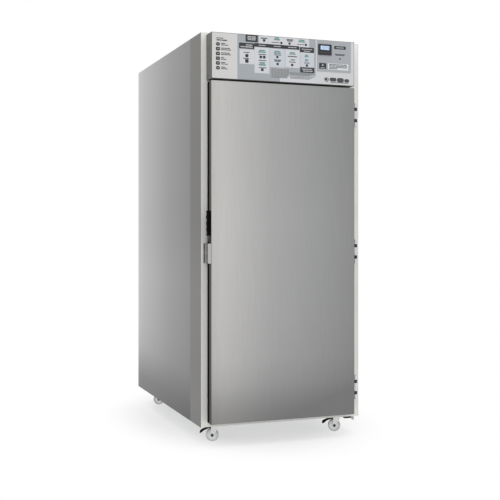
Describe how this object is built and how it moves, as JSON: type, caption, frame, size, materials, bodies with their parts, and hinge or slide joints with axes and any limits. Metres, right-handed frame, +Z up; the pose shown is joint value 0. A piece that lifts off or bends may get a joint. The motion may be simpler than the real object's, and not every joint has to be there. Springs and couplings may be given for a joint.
{
  "type": "proofing cabinet",
  "caption": "Tall insulated bakery proofing cabinet with one hinged door, tray runners, rear air duct, control fascia and swivel casters.",
  "frame": {"origin": "floor level, below the middle of the overall box", "axes": "+X to the right of the door's front, +Y from the door to the back, +Z up"},
  "size_m": [0.82, 1.355, 1.936],
  "materials": {
    "frame_paint": "satin pale grey profile",
    "side_stainless": "brushed stainless sheet",
    "door_stainless": "vertical brushed stainless",
    "liner_stainless": "matt stainless sheet",
    "galvanised_steel": "galvanised sheet",
    "foam": "rigid foam",
    "black_plastic": "matt black moulding",
    "gasket_rubber": "soft black seal",
    "zinc": "bright zinc plated",
    "latch_chrome": "polished",
    "dark_steel": "dark steel",
    "fascia_steel": "satin grey sheet",
    "overlay_film": "printed film",
    "gloss_black": "gloss black moulding",
    "display_window": "clear window over a lit display",
    "button_plastic": "moulded key",
    "aluminium_blades": "pressed blades",
    "aluminium_fins": "finned block",
    "black_paint": "satin black",
    "copper": "copper pipe",
    "wheel_plastic": "translucent grey tyre",
    "black_rubber": "moulded rubber"
  },
  "bodies": {
    "cabinet": {"air_duct_panel": "liner_stainless", "back_skin": "galvanised_steel", "base_pan": "galvanised_steel", "cable_gland": "black_plastic", "caster_bolts": "zinc", "caster_plates": "zinc", "chamber_liner": "liner_stainless", "circulation_fan_motors": "dark_steel", "compressor": "black_paint", "condenser_coil": "aluminium_fins", "condenser_fan_motor": "dark_steel", "controller_housing": "gloss_black", "controller_window": "display_window", "corner_buffer": "black_rubber", "drain_spigot": "liner_stainless", "electrical_box": "galvanised_steel", "evaporator_coil": "aluminium_fins", "fascia_box": "fascia_steel", "fascia_overlay": "overlay_film", "frame_header": "frame_paint", "frame_sill": "frame_paint", "frame_stiles": "frame_paint", "heater_element": "dark_steel", "hinge_bushes": "black_plastic", "hinge_frame_halves": "zinc", "humidifier_pan": "liner_stainless", "insulation_slabs": "foam", "latch_keeper": "zinc", "machine_deck": "galvanised_steel", "rack_uprights": "liner_stainless", "refrigerant_pipes": "copper", "roof_cover": "side_stainless", "side_skin_left": "side_stainless", "side_skin_right": "side_stainless", "tray_runners": "liner_stainless"},
    "door": {"door_outer_skin": "door_stainless", "door_inner_frame": "black_plastic", "door_insulation": "foam", "door_inner_liner": "liner_stainless", "door_gasket": "gasket_rubber", "hinge_door_halves": "zinc", "latch_housing": "latch_chrome"},
    "latch": {"latch_lever": "dark_steel", "latch_grip": "black_plastic"},
    "circulation_fan_left": {"circulation_fan_blades_left": "aluminium_blades"},
    "circulation_fan_right": {"circulation_fan_blades_right": "aluminium_blades"},
    "condenser_fan": {"condenser_fan_blades": "aluminium_blades"},
    "button_1": {"controller_button_1": "button_plastic"},
    "button_2": {"controller_button_2": "button_plastic"},
    "button_3": {"controller_button_3": "button_plastic"},
    "caster_front_left": {"caster_fork_front_left": "zinc"},
    "wheel_front_left": {"caster_wheel_front_left": "wheel_plastic"},
    "pedal_front_left": {"brake_pedal_front_left": "black_plastic"},
    "caster_front_right": {"caster_fork_front_right": "zinc"},
    "wheel_front_right": {"caster_wheel_front_right": "wheel_plastic"},
    "pedal_front_right": {"brake_pedal_front_right": "black_plastic"},
    "caster_rear_left": {"caster_fork_rear_left": "zinc"},
    "wheel_rear_left": {"caster_wheel_rear_left": "wheel_plastic"},
    "caster_rear_right": {"caster_fork_rear_right": "zinc"},
    "wheel_rear_right": {"caster_wheel_rear_right": "wheel_plastic"}
  },
  "joints": [
    {"name": "door_hinge", "type": "hinge", "parent": "cabinet", "child": "door", "pos_m": [0.385, -0.6125, 0.905], "axis": [0, 0, 1], "range_deg": [0, 150]},
    {"name": "latch_lever_pivot", "type": "hinge", "parent": "door", "child": "latch", "pos_m": [-0.38775, -0.6355, 0.928], "axis": [1, 0, 0], "range_deg": [0, 28], "stiffness_Nm_per_rad": 2, "springref_deg": -5.73},
    {"name": "circulation_fan_spin_left", "type": "hinge", "parent": "cabinet", "child": "circulation_fan_left", "pos_m": [-0.15, 0.3686, 1.436], "axis": [0, 1, 0], "continuous": true},
    {"name": "circulation_fan_spin_right", "type": "hinge", "parent": "cabinet", "child": "circulation_fan_right", "pos_m": [0.15, 0.3686, 1.436], "axis": [0, 1, 0], "continuous": true},
    {"name": "condenser_fan_spin", "type": "hinge", "parent": "cabinet", "child": "condenser_fan", "pos_m": [0, 0.5201, 1.8092], "axis": [0, 1, 0], "continuous": true},
    {"name": "button_1_press", "type": "slide", "parent": "cabinet", "child": "button_1", "axis": [0, 1, 0], "range_m": [0, 0.0008], "stiffness_N_per_m": 800},
    {"name": "button_2_press", "type": "slide", "parent": "cabinet", "child": "button_2", "axis": [0, 1, 0], "range_m": [0, 0.0008], "stiffness_N_per_m": 800},
    {"name": "button_3_press", "type": "slide", "parent": "cabinet", "child": "button_3", "axis": [0, 1, 0], "range_m": [0, 0.0008], "stiffness_N_per_m": 800},
    {"name": "caster_swivel_front_left", "type": "hinge", "parent": "cabinet", "child": "caster_front_left", "pos_m": [-0.313, -0.5175, 0.0807], "axis": [0, 0, 1], "continuous": true},
    {"name": "wheel_roll_front_left", "type": "hinge", "parent": "caster_front_left", "child": "wheel_front_left", "pos_m": [-0.3271, -0.51237, 0.031], "axis": [0.342, 0.9397, 0], "continuous": true},
    {"name": "brake_pedal_tilt_front_left", "type": "hinge", "parent": "caster_front_left", "child": "pedal_front_left", "pos_m": [-0.32616, -0.51271, 0.069], "axis": [-0.342, -0.9397, 0], "range_deg": [0, 10]},
    {"name": "caster_swivel_front_right", "type": "hinge", "parent": "cabinet", "child": "caster_front_right", "pos_m": [0.33, -0.5175, 0.0807], "axis": [0, 0, 1], "continuous": true},
    {"name": "wheel_roll_front_right", "type": "hinge", "parent": "caster_front_right", "child": "wheel_front_right", "pos_m": [0.3159, -0.51237, 0.031], "axis": [0.342, 0.9397, 0], "continuous": true},
    {"name": "brake_pedal_tilt_front_right", "type": "hinge", "parent": "caster_front_right", "child": "pedal_front_right", "pos_m": [0.31684, -0.51271, 0.069], "axis": [-0.342, -0.9397, 0], "range_deg": [0, 10]},
    {"name": "caster_swivel_rear_left", "type": "hinge", "parent": "cabinet", "child": "caster_rear_left", "pos_m": [-0.313, 0.4825, 0.0807], "axis": [0, 0, 1], "continuous": true},
    {"name": "wheel_roll_rear_left", "type": "hinge", "parent": "caster_rear_left", "child": "wheel_rear_left", "pos_m": [-0.3271, 0.48763, 0.031], "axis": [0.342, 0.9397, 0], "continuous": true},
    {"name": "caster_swivel_rear_right", "type": "hinge", "parent": "cabinet", "child": "caster_rear_right", "pos_m": [0.33, 0.4825, 0.0807], "axis": [0, 0, 1], "continuous": true},
    {"name": "wheel_roll_rear_right", "type": "hinge", "parent": "caster_rear_right", "child": "wheel_rear_right", "pos_m": [0.3159, 0.48763, 0.031], "axis": [0.342, 0.9397, 0], "continuous": true}
  ]
}
